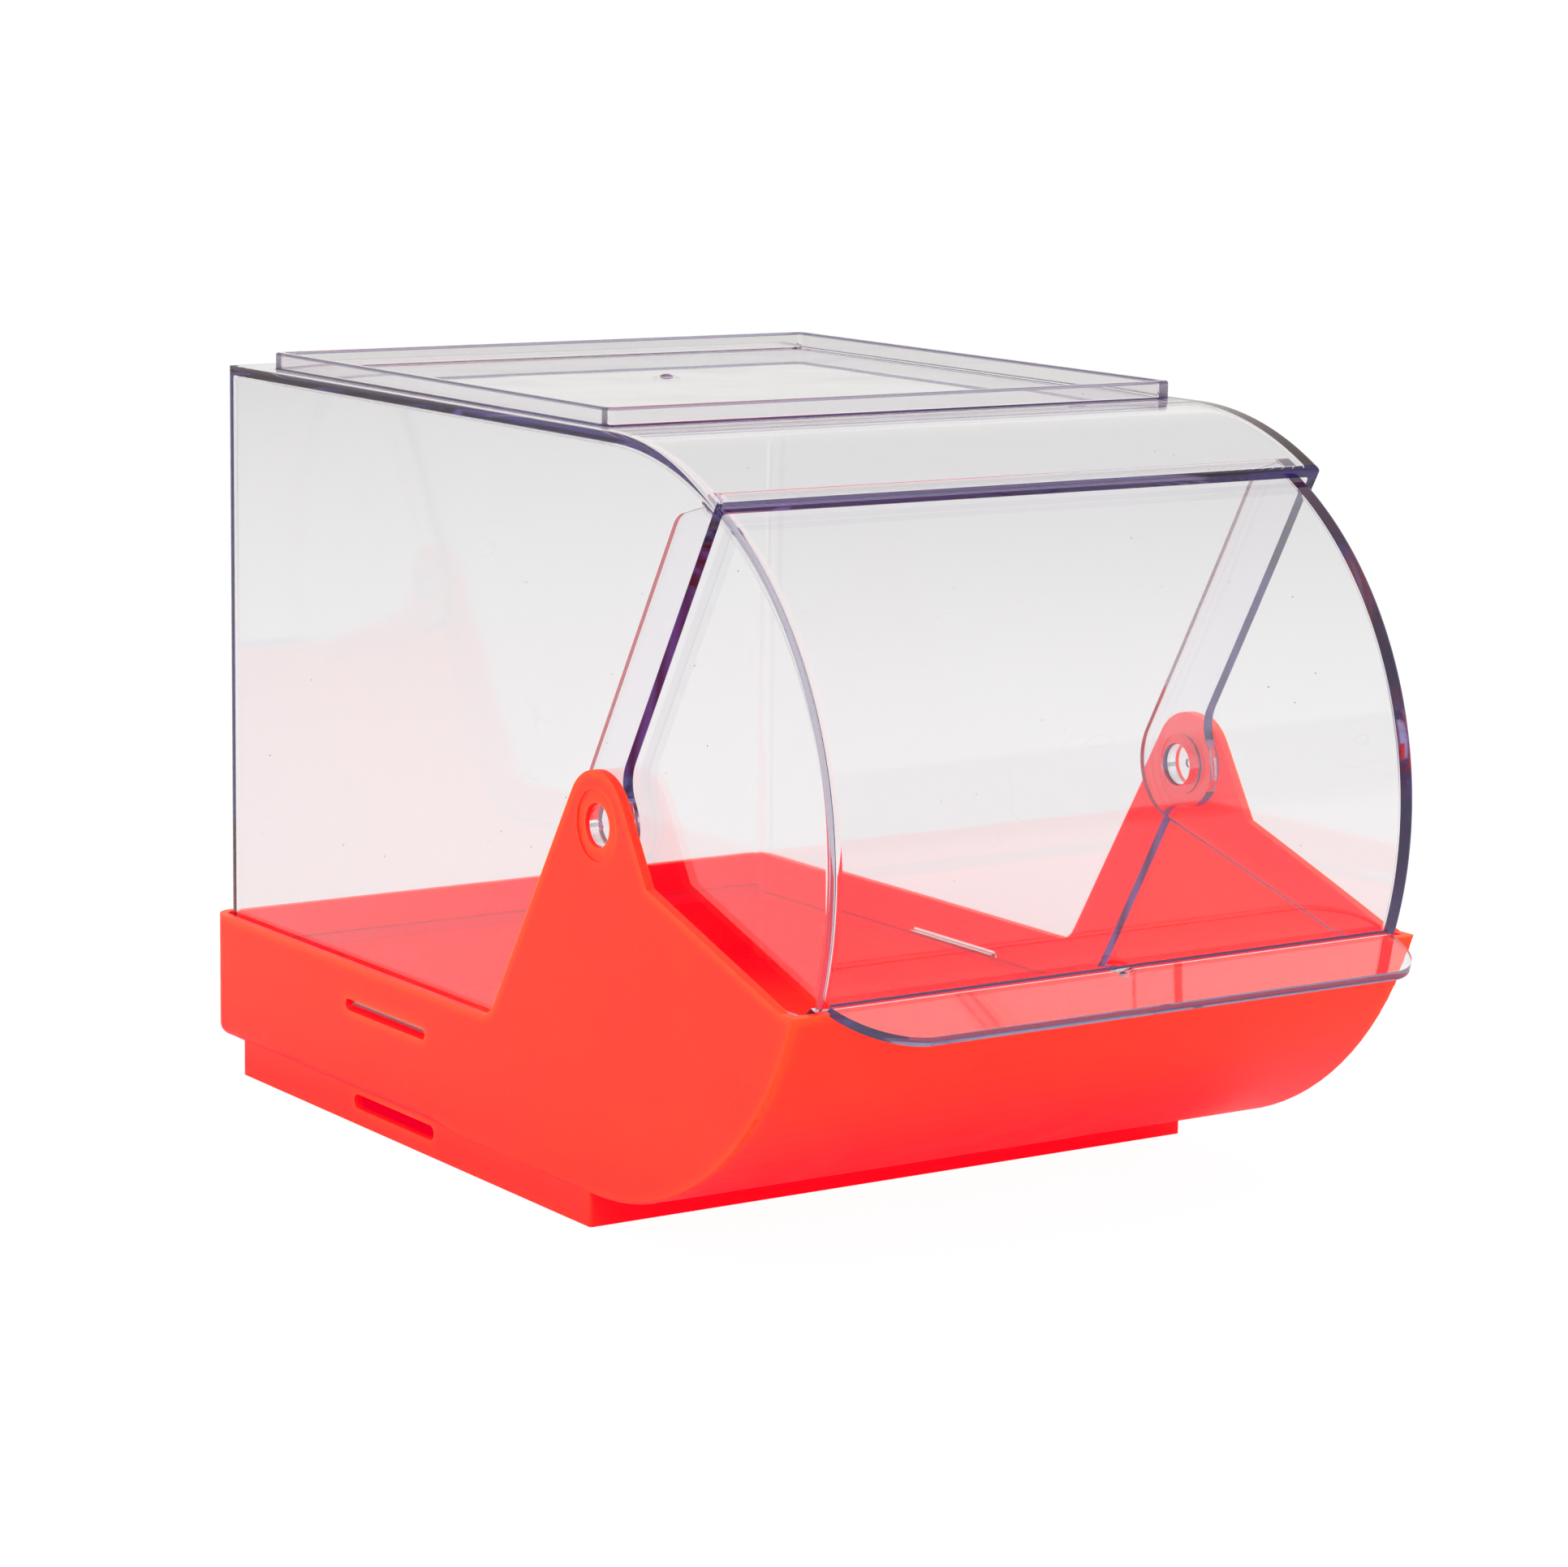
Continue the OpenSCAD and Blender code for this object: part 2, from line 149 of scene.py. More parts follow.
# Tray: faces of the CAD mesh joined up, and edges rounded
TRAY_WELD = 0.002
TRAY_FLAT_ANGLE = math.radians(0.3)
TRAY_EDGE_R = 0.9

# Hinge pins
PIN_R = 5.95
PIN_PLAY = 0.05
PIN_INNER = 91.7
PIN_OUTER = 98.5
PIN_EDGE_R = 0.3
PIN_STEPS = 64
PIN_SHARP_ANGLE = math.radians(40)
DIMPLE_R = 2.5
DIMPLE_DEPTH = 0.5

# Floor: its real whiteness, what the camera sees straight on, and a patch of painted red glow under the
# bin
FLOOR_SIDE = 60
FLOOR_ALBEDO = 0.82
FLOOR_FAINT = 0.06
FLOOR_GLOW = 0.97
UNDER_BIN_SIDE = 0.19
UNDER_BIN_PLACE = (0, 0.0502, 0.0001)
PAINTED_RED_GLOW_UNDER_BIN = (0.9, 0.0, 0.02, 1)

# Clear plastic: what its depth lets through, painted dark shade along its marked edges, and the tray's
# painted red light in its foot
WHITE = (1, 1, 1, 1)
DEPTH_TINT = (0.6, 0.514, 0.78, 1)
DEPTH_DENSITY = 24.0
PAINTED_EDGE_TINT = (0.16, 0.12, 0.34, 1)
PAINTED_EDGE_FILM = (0.14, 0.12, 0.22, 1)
PAINTED_EDGE_FILM_PART = 0.6
PAINTED_TRAY_RED = (0.85, 0.02, 0.055, 1)
SEAT_EDGE_H = 1.7
FOOT_H = 4.4
HEIGHT_FADE = 0.2 * MM
SIDE_FADE = 0.3 * MM

# Red plastic: painted lit and shaded colours, painted orange light along its edges, and a painted red
# glow
RED_LIT = (1.0, 0.03, 0.004, 1)
RED_SHADED = (1.0, 0.002, 0.01, 1)
RED_PAINTED_EDGE_LIGHT = (1.0, 0.1, 0.006, 1)
RED_PAINTED_GLOW = (1.0, 0.0, 0.02, 1)
RED_PAINTED_GLOW_LEVEL = 0.42
EDGE_GLOW_R = 5 * MM
SHADE_REACH = 60 * MM

# Wear: specks of dust and hairlines. A grey haze over the rim
DUST_PER_M = 80.0
DUST_R = 0.25 * MM
GRIT_GREY = (0.12, 0.12, 0.13, 1)
HAIRLINE_HAZE = 0.03
RIM_HAZE = 0.14
RIM_FADE = (0.3 * MM, 1.0 * MM)
HAZE_GREY = (0.7, 0.7, 0.72, 1)
RED_WORN = (1.0, 0.35, 0.28, 1)
RED_HAIRLINE = 0.12

# Studio: brightness of the walls and ceiling by height, and the dim wall in front on the right
WALL_LEVELS = ((0.0, 0.84), (0.12, 0.88), (0.3, 0.96), (0.6, 0.9), (0.8, 0.75), (1.0, 0.6))
WALL_BLUE = 0.96
DIM_WALL_TOWARDS = (0.6, -0.8, 0)
DIM_WALL_SIDES = (0.35, 0.6)
DIM_WALL_TOP = (0.27, 0.3)
DIM_WALL_LOSS = 0.4
SEEN_WALL = 1.02

# Light paths, long enough for many clear walls one behind another
BOUNCES = 200
CLEAR_LAYERS = 32


# ---------------------------------------------------------------- outlines


def polar(r, angle):
    """Side-view point at a radius from the hinge line, at an angle forward from the vertical."""
    a = math.radians(angle)
    return Vector((-r * math.sin(a), r * math.cos(a)))


def turn(path, centre, end):
    """Carries a path on round a centre to an end point, by the shorter way."""
    start = path[-1] - centre
    first = math.atan2(start.y, start.x)
    stop = end - centre
    sweep = (math.atan2(stop.y, stop.x) - first + math.pi) % math.tau - math.pi
    steps = math.ceil(abs(sweep) / min(ARC_ANGLE, ARC_CHORD / start.length))
    for i in range(1, steps + 1):
        a = first + sweep * i / steps
        path.append(centre + start.length * Vector((math.cos(a), math.sin(a))))


def corner(path, apex, onward, r):
    """Carries a path on to a corner at apex, rounded, where it sets off towards another point."""
    back = (path[-1] - apex).normalized()
    ahead = (onward - apex).normalized()
    half = back.angle(ahead) / 2
    centre = apex + (back + ahead).normalized() * r / math.sin(half)
    path.append(apex + back * r / math.tan(half))
    turn(path, centre, apex + ahead * r / math.tan(half))


def rectangle(half, front, rear, r):
    """Plan view of a rectangle with rounded corners."""
    corners = [Vector(c) for c in ((half, front), (half, rear), (-half, rear), (-half, front))]
    path = [(corners[3] + corners[0]) / 2]
    for i, apex in enumerate(corners):
        corner(path, apex, corners[(i + 1) % 4], r)
    return path[1:]


def hopper_outline():
    """Outside of the hopper from its side: visor, top, rear wall, seat and lobed front edge."""
    up = polar(1, VISOR_END)
    forward = polar(1, VISOR_END + 90)
    along = math.sqrt((LOBE_R + LOBE_FILLET_R) ** 2 - LOBE_FILLET_R**2)
    path = [polar(VISOR_R, VISOR_END)]
    turn(path, HINGE_LINE, Vector((0, VISOR_R)))
    path += [Vector((HOPPER_REAR, VISOR_R)), Vector((HOPPER_REAR, SEAT))]
    corner(path, up * SEAT / up.y, HINGE_LINE, TOE_R)
    for side in (-1, 1):
        root = up * along * side
        centre = root + forward * LOBE_FILLET_R
        touch = centre.normalized() * LOBE_R
        if side < 0:
            path.append(root)
            turn(path, centre, touch)
        else:
            turn(path, HINGE_LINE, touch)
            turn(path, centre, root)
    return path


def hopper_cavity():
    """Inside of the hopper from its side, carried on below the seat and out through the front."""
    inner = VISOR_R - HOPPER_T
    rear = HOPPER_REAR - HOPPER_T
    path = [Vector((0, inner))]
    turn(path, HINGE_LINE, Vector((-inner, 0)))
    turn(path, HINGE_LINE, Vector((0, -inner)))
    return path + [Vector((rear, -inner)), Vector((rear, inner))]


def door_outline():
    """Outside of the scoop door from its side: cheek, panel arc and the dip behind the front wall."""
    up = polar(1, VISOR_END)
    rear_foot = -CHEEK_LOBE_R * polar(1, VISOR_END + 90)
    panel_inner = PANEL_R - DOOR_T
    path = [rear_foot]
    corner(path, rear_foot + up * CHEEK_EDGE_L, polar(panel_inner, PANEL_TOP), CHEEK_CORNER_R)
    path += [polar(panel_inner, PANEL_TOP), polar(PANEL_R, PANEL_TOP)]
    turn(path, HINGE_LINE, polar(PANEL_R, PANEL_END))
    path.append(polar(panel_inner, PANEL_END))
    path.append(Vector((-math.sqrt(DIP_R**2 - DIP_LEVEL**2), DIP_LEVEL)))
    slope = math.radians(CHEEK_SLOPE)
    under = CHEEK_LOBE_R * Vector((math.sin(slope), -math.cos(slope)))
    ahead = Vector((math.cos(slope), math.sin(slope)))
    path.append(under + ahead * (DIP_LEVEL - under.y) / ahead.y)
    path.append(under)
    turn(path, HINGE_LINE, rear_foot)
    return path[:-1]


def disc(r, centre=HINGE_LINE):
    """Side view of a full circle."""
    path = [centre + Vector((r, 0))]
    for end in ((0, r), (-r, 0), (0, -r), (r, 0)):
        turn(path, centre, centre + Vector(end))
    return path[:-1]


def lip_outline(reach):
    """Plan view of the lip about the middle of its root: a strip whose ends are quarter ellipses."""
    steps = 24
    end = [
        Vector((LIP_HALF - LIP_END_W * (1 - math.cos(a)), -reach * math.sin(a)))
        for a in (math.pi / 2 * i / steps for i in range(steps + 1))
    ]
    mirrored = [Vector((-p.x, p.y)) for p in reversed(end)]
    root = [Vector((-LIP_HALF, LIP_ROOT_L)), Vector((LIP_HALF, LIP_ROOT_L))]
    return end + mirrored + root


# ------------------------------------------------------------------ solids


def side_point(p, x):
    return Vector((x, p.x, p.y))


def plan_point(p, z):
    return Vector((p.x, p.y, z))


def front_point(p, y):
    return Vector((p.x, y, p.y))


def prism(outline, low, high, point=side_point):
    """Closed prism of an outline between two heights."""
    solid = bmesh.new()
    solid.faces.layers.float.new(PAINTED_EDGE_MARK)
    rings = [[solid.verts.new(point(p, h)) for p in outline] for h in (low, high)]
    for ring in rings:
        solid.faces.new(ring)
    for i in range(len(outline)):
        j = i - 1
        solid.faces.new((rings[0][j], rings[0][i], rings[1][i], rings[1][j]))
    bmesh.ops.recalc_face_normals(solid, faces=solid.faces)
    return solid


def lathe(profile, steps):
    """Closed solid of a profile of (x, radius) points turned about the hinge line."""
    solid = bmesh.new()
    rings = []
    for x, r in profile:
        if r == 0:
            rings.append([solid.verts.new((x, 0, 0))] * steps)
            continue
        angles = (math.tau * i / steps for i in range(steps))
        rings.append([solid.verts.new((x, r * math.cos(a), r * math.sin(a))) for a in angles])
    for a, b in zip(rings, rings[1:]):
        for i in range(steps):
            corners = (a[i - 1], a[i], b[i], b[i - 1])
            solid.faces.new(dict.fromkeys(corners))
    bmesh.ops.recalc_face_normals(solid, faces=solid.faces)
    return solid


def ball(r, place):
    """Closed sphere."""
    solid = bmesh.new()
    spot = Matrix.Translation(place)
    bmesh.ops.create_uvsphere(solid, u_segments=48, v_segments=24, radius=r, matrix=spot)
    return solid


def at_rear_corner(half, rear):
    """Test for points where the rear meets a side."""
    return lambda v: v.y > rear - NEAR and abs(v.x) > half - NEAR


def round_edges(solid, r, chosen, steps=6, marked=0):
    """Rounds those edges of a solid whose two ends both pass a test, and may mark the new faces."""
    edges = [e for e in solid.edges if all(chosen(v.co) for v in e.verts)]
    edges = [e for e in edges if e.calc_face_angle(0) > BLOCK_ANGLE]
    made = bmesh.ops.bevel(
        solid, geom=edges, offset=r, segments=steps, profile=0.5, affect="EDGES", clamp_overlap=False
    )
    if marked:
        mark_faces(solid, made["faces"], marked)
    return solid


def mark_faces(solid, faces, value):
    mark = solid.faces.layers.float[PAINTED_EDGE_MARK]
    for face in faces:
        face[mark] = value


def make_object(name, solid):
    mesh = bpy.data.meshes.new(name)
    solid.to_mesh(mesh)
    solid.free()
    piece = bpy.data.objects.new(name, mesh)
    bpy.context.scene.collection.objects.link(piece)
    return piece


def combine(piece, operation, solid):
    """Joins a solid to a piece, or cuts it away from the piece."""
    tool = make_object("tool", solid)
    modifier = piece.modifiers.new("combine", "BOOLEAN")
    modifier.operation = operation
    modifier.solver = "EXACT"
    modifier.object = tool
    apply_modifiers(piece)
    bpy.data.objects.remove(tool)


def mesh_copy(piece):
    """Copy of a piece's mesh, to go on working on."""
    solid = bmesh.new()
    solid.from_mesh(piece.data)
    return solid


def break_edges(piece):
    """Small rounding on every sharp edge, with its faces marked for painted dark shade by way of a
    second material slot.
    """
    piece.data.materials.clear()
    for _ in range(2):
        piece.data.materials.append(None)
    bevel = add_bevel(piece, SMALL_EDGE_R, steps=3)
    bevel.material = 1
    apply_modifiers(piece)
    mark = piece.data.attributes[PAINTED_EDGE_MARK].data
    for face in piece.data.polygons:
        mark[face.index].value = max(mark[face.index].value, face.material_index)
        face.material_index = 0


def apply_modifiers(piece):
    graph = bpy.context.evaluated_depsgraph_get()
    mesh = bpy.data.meshes.new_from_object(piece.evaluated_get(graph))
    piece.modifiers.clear()
    piece.data = mesh


def add_bevel(piece, width, steps):
    bevel = piece.modifiers.new("soft_edges", "BEVEL")
    bevel.width = width
    bevel.segments = steps
    bevel.limit_method = "ANGLE"
    bevel.angle_limit = SHARP_ANGLE
    return bevel


def flat_faces(piece):
    """Normals that keep large faces flat beside small rounded ones."""
    weighted = piece.modifiers.new("flat_faces", "WEIGHTED_NORMAL")
    weighted.mode = "FACE_AREA"
    weighted.weight = 100
    weighted.keep_sharp = True


def seat_piece(piece, body, node, material):
    """Sets a finished solid in the frame: its place, body, CAD node and finish."""
    piece.data.transform(Matrix.Translation(HINGE_PLACE) @ Matrix.Scale(MM, 4))
    piece.data.shade_smooth()
    piece.data.materials.clear()
    piece.data.materials.append(material)
    flat_faces(piece)
    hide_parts(node)
    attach(piece, body)


# ------------------------------------------------------------------ pieces


def hopper_shell(material):
    inner_half = HOPPER_HALF - HOPPER_T
    inner_r = VISOR_R - HOPPER_T
    visor_foot = polar(VISOR_R, VISOR_END).y

    def on_top_outside(v):
        on_visor = abs(v.x) > HOPPER_HALF - NEAR and v.y < NEAR and v.z > visor_foot - NEAR
        return on_visor or v.z > VISOR_R - NEAR

    def on_top_inside(v):
        on_visor = abs(v.x) > inner_half - NEAR and v.y < NEAR and v.z > 0
        return on_visor or v.z > inner_r - NEAR

    def at_rim_foot(v):
        within = abs(v.x) < RIM_HALF + NEAR and RIM_FRONT - NEAR < v.y < RIM_REAR + NEAR
        return within and abs(v.z - VISOR_R) < NEAR

    shell = prism(hopper_outline(), -HOPPER_HALF, HOPPER_HALF)
    round_edges(shell, HOPPER_CORNER_R, at_rear_corner(HOPPER_HALF, HOPPER_REAR))
    round_edges(shell, HOPPER_EDGE_R, on_top_outside)
    piece = make_object("hopper_shell", shell)
    cavity = prism(hopper_cavity(), -inner_half, inner_half)
    corner_test = at_rear_corner(inner_half, HOPPER_REAR - HOPPER_T)
    round_edges(cavity, HOPPER_CORNER_R - HOPPER_T, corner_test)
    round_edges(cavity, HOPPER_FILLET_R, on_top_inside)
    combine(piece, "DIFFERENCE", cavity)
    combine(piece, "DIFFERENCE", prism(disc(PIN_R), -FAR, FAR))
    combine(piece, "UNION", rim_solid())
    solid = mesh_copy(piece)
    round_edges(solid, RIM_FOOT_R, at_rim_foot, steps=3)
    solid.to_mesh(piece.data)
    solid.free()
    for side in (-1, 1):
        combine(piece, "UNION", snap_ledge(side))
    break_edges(piece)
    combine(piece, "UNION", ball(GATE_BALL_R, (0, GATE_Y, VISOR_R + GATE_H - GATE_BALL_R)))
    seat_piece(piece, "bin", "hopper", material)


def snap_ledge(side):
    """Ledge along the foot of a side wall, sloping outwards from the wall's lower edge."""
    root, wall, tip = (side * (HOPPER_HALF + reach) for reach in (-BITE, 0, LEDGE_REACH))
    outline = [
        Vector((root, SEAT)),
        Vector((wall, SEAT)),
        Vector((tip, SEAT + LEDGE_RAMP)),
        Vector((tip, SEAT + LEDGE_H)),
        Vector((root, SEAT + LEDGE_H)),
    ]
    return prism(outline, LEDGE_FRONT, LEDGE_REAR, front_point)


def rim_solid():
    """Stacking rim, sunk half-way into the top panel."""
    top = VISOR_R + RIM_H
    outer = rectangle(RIM_HALF, RIM_FRONT, RIM_REAR, RIM_CORNER_R)
    inner = rectangle(RIM_HALF - RIM_T, RIM_FRONT + RIM_T, RIM_REAR - RIM_T, RIM_INNER_R)
    ring = make_object("rim", prism(outer, VISOR_R - HOPPER_T / 2, top, plan_point))
    combine(ring, "DIFFERENCE", prism(inner, 0, FAR, plan_point))
    solid = mesh_copy(ring)
    bpy.data.objects.remove(ring)
    # The rim's rounded top edges are marked for painted dark shade
    return round_edges(solid, RIM_EDGE_R, lambda v: v.z > top - NEAR, steps=4, marked=RIM_MARK)


def door_shell(material):
    panel_inner = PANEL_R - DOOR_T
    inner_half = DOOR_HALF - DOOR_T

    def on_arc(v):
        return abs(v.x) > DOOR_HALF - NEAR and v.yz.length > PANEL_R - NEAR

    def is_cheek_rim(face):
        return abs(face.normal.x) < 0.5 and face.calc_center_median().yz.length < panel_inner - NEAR

    shell = prism(door_outline(), -DOOR_HALF, DOOR_HALF)
    # The panel's rounded arc edges are marked for painted dark shade
    round_edges(shell, DOOR_EDGE_R, on_arc, marked=ARC_MARK)
    # Painted dark shade on the faces of the cheek's rim
    mark_faces(shell, [f for f in shell.faces if is_cheek_rim(f)], 1)
    piece = make_object("door_shell", shell)
    cavity = prism(disc(panel_inner), -inner_half, inner_half)
    round_edges(cavity, DOOR_FILLET_R, lambda v: abs(v.x) > inner_half - NEAR)
    combine(piece, "DIFFERENCE", cavity)
    for side in (-1, 1):
        root, tip = sorted((side * (DOOR_HALF - BITE), side * (DOOR_HALF + RING_REACH)))
        combine(piece, "UNION", prism(disc(RING_R), root, tip))
    combine(piece, "DIFFERENCE", prism(disc(PIN_R + PIN_PLAY), -FAR, FAR))
    combine(piece, "UNION", lip_solid())
    break_edges(piece)
    combine(piece, "DIFFERENCE", lip_crease())
    for operation, solid in lip_gate():
        combine(piece, operation, solid)
    seat_piece(piece, "scoop_door", "door", material)


def lip_place():
    """Where the lip's root meets the panel, sloping down to the front."""
    level = PANEL_R * math.cos(math.radians(PANEL_END)) + LIP_RISE
    root_y = -math.sqrt(PANEL_R**2 - level**2)
    return Matrix.Translation((0, root_y, level)) @ Matrix.Rotation(math.radians(LIP_SLOPE), 4, "X")


def lip_crease():
    """Thin round crease along the lip's root."""
    centre = lip_place().translation.yz + Vector((-CREASE_R / 2, CREASE_R / 2))
    crease = prism(disc(CREASE_R, centre), -LIP_HALF, LIP_HALF)
    # The crease is marked for painted dark shade
    mark_faces(crease, crease.faces, 1)
    return crease


def lip_gate():
    """Scooped spot at the middle of the lip's root, and the nub in it."""
    piece = make_object("scoop", ball(SCOOP_R, lip_place() @ Vector((0, 0, SCOOP_R - SCOOP_DEPTH))))
    combine(piece, "DIFFERENCE", prism(disc(PANEL_R + PIN_PLAY), -FAR, FAR))
    scoop = mesh_copy(piece)
    bpy.data.objects.remove(piece)
    nub = ball(NUB_R, lip_place() @ Vector((0, -NUB_AHEAD, -SCOOP_DEPTH - NUB_R / 2)))
    return ("DIFFERENCE", scoop), ("UNION", nub)


def lip_solid():
    """The lip, cut clear of the front wall below the panel's end."""
    reach = (LIP_TIP + lip_place().translation.y) / math.cos(math.radians(LIP_SLOPE))
    strip = prism(lip_outline(reach), -LIP_T, 0, plan_point)
    # The lip's side faces are marked for painted dark shade
    mark_faces(strip, [f for f in strip.faces if abs(f.normal.z) < 0.5], LIP_MARK)
    piece = make_object("lip", strip)
    piece.data.transform(lip_place())
    sector = [HINGE_LINE, polar(WALL_CLEARANCE_R, PANEL_END)]
    turn(sector, HINGE_LINE, polar(WALL_CLEARANCE_R, 180))
    combine(piece, "DIFFERENCE", prism(sector, -FAR, FAR))
    solid = mesh_copy(piece)
    bpy.data.objects.remove(piece)
    return solid


def hinge_pin(side, material):
    """Pin plug with a dimple in the middle of its outer face."""
    name = "left_pin" if side < 0 else "right_pin"
    r = PIN_R - PIN_PLAY
    profile = [(PIN_INNER, 0), (PIN_INNER, r - PIN_EDGE_R)]
    steps = 4
    for x, first in ((PIN_INNER + PIN_EDGE_R, 180), (PIN_OUTER - PIN_EDGE_R, 90)):
        for i in range(steps + 1):
            a = math.radians(first - 90 * i / steps)
            profile.append((x + PIN_EDGE_R * math.cos(a), r - PIN_EDGE_R + PIN_EDGE_R * math.sin(a)))
    centre = PIN_OUTER + DIMPLE_R - DIMPLE_DEPTH
    half_angle = math.acos(1 - DIMPLE_DEPTH / DIMPLE_R)
    for i in range(steps + 1):
        a = half_angle * (1 - i / steps)
        profile.append((centre - DIMPLE_R * math.cos(a), DIMPLE_R * math.sin(a) if i < steps else 0))
    solid = lathe([(side * x, rr) for x, rr in profile], PIN_STEPS)
    piece = make_object(name + "_plug", solid)
    seat_piece(piece, "bin", name, material)
    piece.data.set_sharp_from_angle(angle=PIN_SHARP_ANGLE)


# --------------------------------------------------------------- materials


class Shading:
    """Emptied node tree of a material or of the world, with short ways to add to it."""

    def __init__(self, owner):
        owner.use_nodes = True
        self.nodes = owner.node_tree.nodes
        self.links = owner.node_tree.links
        self.nodes.clear()

    def add(self, kind, inputs=None, **settings):
        """New node. Each input is a value, or another node's output to link."""
        node = self.nodes.new("ShaderNode" + kind)
        for name, value in settings.items():
            setattr(node, name, value)
        for name, value in (inputs or {}).items():
            if isinstance(value, bpy.types.NodeSocket):
                self.links.new(value, node.inputs[name])
            else:
                node.inputs[name].default_value = value
        return node

    def out(self, kind, inputs=None, **settings):
        """First output of a new node."""
        return self.add(kind, inputs, **settings).outputs[0]

    def math(self, operation, a, b=0):
        return self.out("Math", {0: a, 1: b}, operation=operation)

    def step(self, value, low, high):
        """Smooth step of a value from 0 at low to 1 at high."""
        inputs = {"Value": value, "From Min": low, "From Max": high}
        return self.out("MapRange", inputs, interpolation_type="SMOOTHSTEP")

    def blend(self, mask, low, high):
        """Colour that goes from one to another as the mask goes from 0 to 1."""
        return self.out("MixRGB", {"Fac": mask, "Color1": low, "Color2": high})

    def coat(self, mask, under, over):
        """Shader under another, which shows where the mask is 1."""
        return self.out("MixShader", {0: mask, 1: under, 2: over})


def make_material(name):
    """New material and its shading."""
    material = bpy.data.materials.new(name)
    return material, Shading(material)


def below(shading, height, level):
    """Mask of everything below a level, given in millimetres above the hinge line."""
    place = HINGE_PLACE.z + level * MM
    return shading.step(height, place + HEIGHT_FADE, place - HEIGHT_FADE)


def specks(shading, place):
    """Mask of small round specks of dust."""
    cells = shading.out("TexVoronoi", {"Vector": place, "Scale": DUST_PER_M})
    r = DUST_R * DUST_PER_M
    return shading.step(cells, r, 0.6 * r)


def hairlines(shading, place, turn_by, stretch, width):
    """Mask of fine hairlines: thin level lines of a stretched noise, in scattered patches."""
    turned = [math.radians(a) for a in turn_by]
    stretched = shading.out("Mapping", {"Vector": place, "Rotation": turned, "Scale": stretch})
    lines = shading.out("TexNoise", {"Vector": stretched, "Scale": 1.0, "Detail": 1.0})
    offset = shading.math("ABSOLUTE", shading.math("SUBTRACT", lines, 0.5))
    hair = shading.step(offset, width, width / 3)
    patches = shading.out("TexNoise", {"Vector": place, "Scale": 28.0, "Detail": 2.0})
    return shading.math("MULTIPLY", hair, shading.step(patches, 0.56, 0.66))


def clear_plastic():
    """Clear plastic, violet in its depth, with painted dark shade along marked edges, dust and a hazy
    rim.

    All round the hopper's foot a red coat paints the tray's red light, in place of the painted dark
    film: low on the side walls, and higher up between them.
    """
    material, shading = make_material("clear_plastic")
    place = shading.add("TexCoord").outputs["Object"]
    split = shading.add("SeparateXYZ", {"Vector": place}).outputs
    rim_base = HINGE_PLACE.z + VISOR_R * MM
    rim = shading.step(split["Z"], *(rim_base + rise for rise in RIM_FADE))
    foot = below(shading, split["Z"], SEAT + FOOT_H)
    seat = below(shading, split["Z"], SEAT + SEAT_EDGE_H)
    inner_half = (HOPPER_HALF - HOPPER_T) * MM
    aside = shading.math("ABSOLUTE", split["X"])
    inwards = shading.step(aside, inner_half, inner_half - SIDE_FADE)
    # Painted red light of the tray, as a red coat on the hopper's foot
    painted_tray_red = shading.math("MAXIMUM", seat, shading.math("MULTIPLY", foot, inwards))
    mark = shading.add("Attribute", attribute_name=PAINTED_EDGE_MARK).outputs["Fac"]
    # Painted dark shade on marked edges: a violet tint of the glass and a dark film over it
    edge = shading.math("SUBTRACT", mark, foot)
    painted_edge_film = shading.math("MULTIPLY", edge, PAINTED_EDGE_FILM_PART)
    hair = hairlines(shading, place, (20, 35, 10), (30, 220, 40), 0.004)
    hair_haze = shading.math("MULTIPLY", hair, HAIRLINE_HAZE)
    hazy = shading.math("MAXIMUM", shading.math("MULTIPLY", rim, RIM_HAZE), hair_haze)
    waves = shading.out("TexNoise", {"Vector": place, "Scale": 35.0, "Detail": 1.0})
    bump = {"Height": waves, "Strength": 0.05, "Distance": 0.5 * MM}
    inputs = {
        "Base Color": shading.blend(edge, WHITE, PAINTED_EDGE_TINT),
        "Roughness": 0.02,
        "IOR": 1.51,
        "Normal": shading.out("Bump", bump),
        "Transmission Weight": 1.0,
    }
    surface = shading.out("BsdfPrincipled", inputs)
    haze_in = shading.out("BsdfDiffuse", {"Color": HAZE_GREY})
    haze_out = shading.out("BsdfTranslucent", {"Color": HAZE_GREY})
    coats = (
        (hazy, shading.coat(0.5, haze_in, haze_out)),
        (painted_edge_film, shading.out("BsdfDiffuse", {"Color": PAINTED_EDGE_FILM})),
        (painted_tray_red, shading.out("BsdfDiffuse", {"Color": PAINTED_TRAY_RED})),
        (specks(shading, place), shading.out("BsdfDiffuse", {"Color": GRIT_GREY})),
    )
    for mask, shader in coats:
        surface = shading.coat(mask, surface, shader)
    for_shadow = shading.add("LightPath").outputs["Is Shadow Ray"]
    surface = shading.coat(for_shadow, surface, shading.out("BsdfTransparent"))
    depth = shading.out("VolumeAbsorption", {"Color": DEPTH_TINT, "Density": DEPTH_DENSITY})
    shading.add("OutputMaterial", {"Surface": surface, "Volume": depth})
    return material


